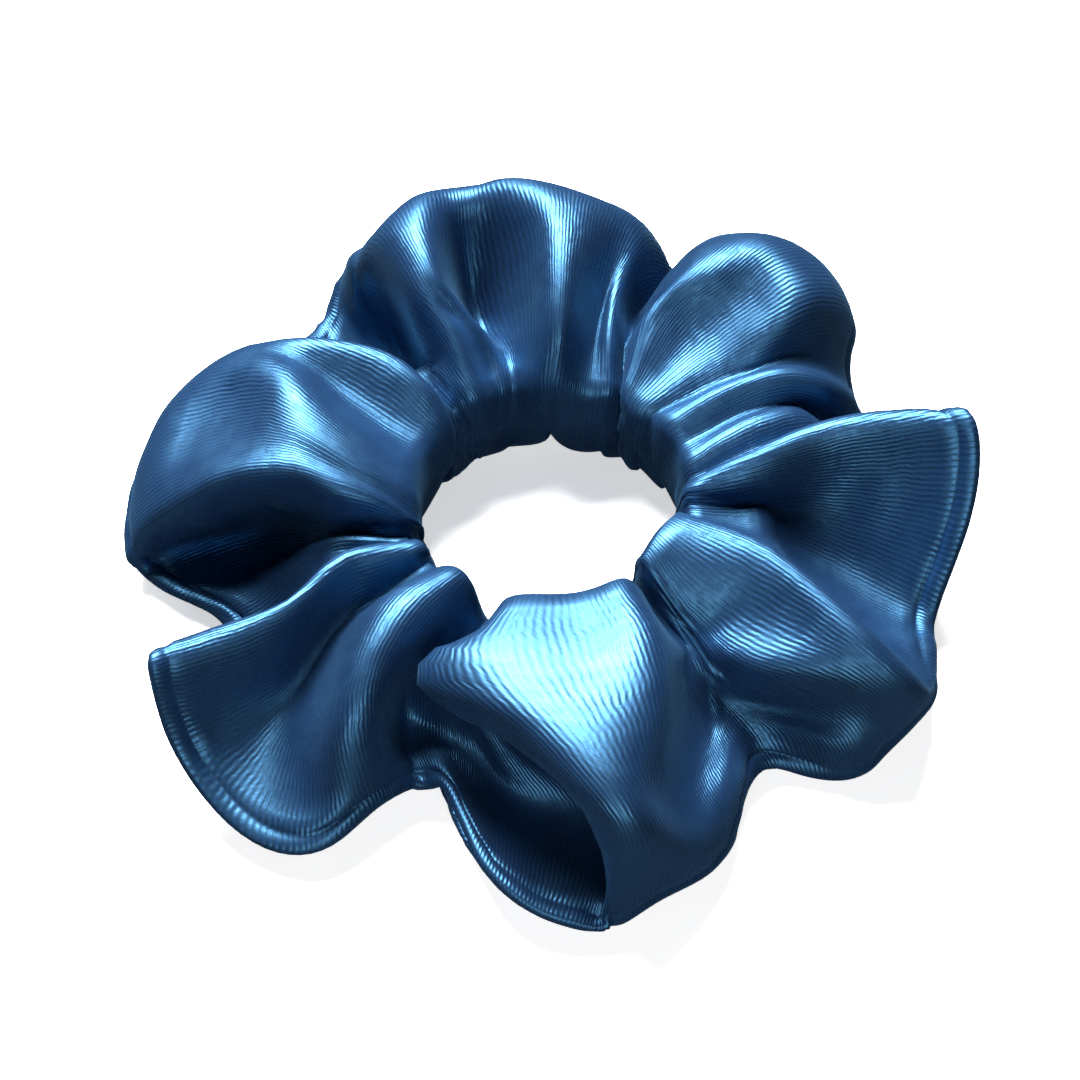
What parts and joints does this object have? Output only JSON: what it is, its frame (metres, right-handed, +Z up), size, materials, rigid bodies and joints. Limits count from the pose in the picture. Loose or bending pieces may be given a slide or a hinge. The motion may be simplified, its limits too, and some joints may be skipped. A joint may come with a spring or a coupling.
{
  "type": "hair scrunchie",
  "caption": "Hair scrunchie: a gathered satin cloth tube, sewn along its outer edge, over a hidden ring of flat elastic that stretches open and springs back.",
  "frame": {"origin": "centre of the elastic ring, on the surface that the scrunchie lies on", "axes": "+Z up along the ring's axis, +X to the right, the way the right half moves when the ring is pulled open, +Y away from the viewer"},
  "size_m": [0.1113, 0.1055, 0.0272],
  "materials": {
    "satin": "satin",
    "thread": "satin",
    "elastic": "matt woven",
    "elastic_thread": "matt"
  },
  "bodies": {
    "left_half": {"cover_left": "satin", "hem_stitching_left": "thread", "closing_seam": "thread", "elastic_band": "elastic", "elastic_lap_stitches": "elastic_thread"},
    "right_half": {"cover_right": "satin", "hem_stitching_right": "thread"}
  },
  "joints": [
    {"name": "stretch", "type": "slide", "parent": "left_half", "child": "right_half", "axis": [1, 0, 0], "range_m": [0, 0.09], "stiffness_N_per_m": 90, "deforming": ["elastic_band"]}
  ]
}
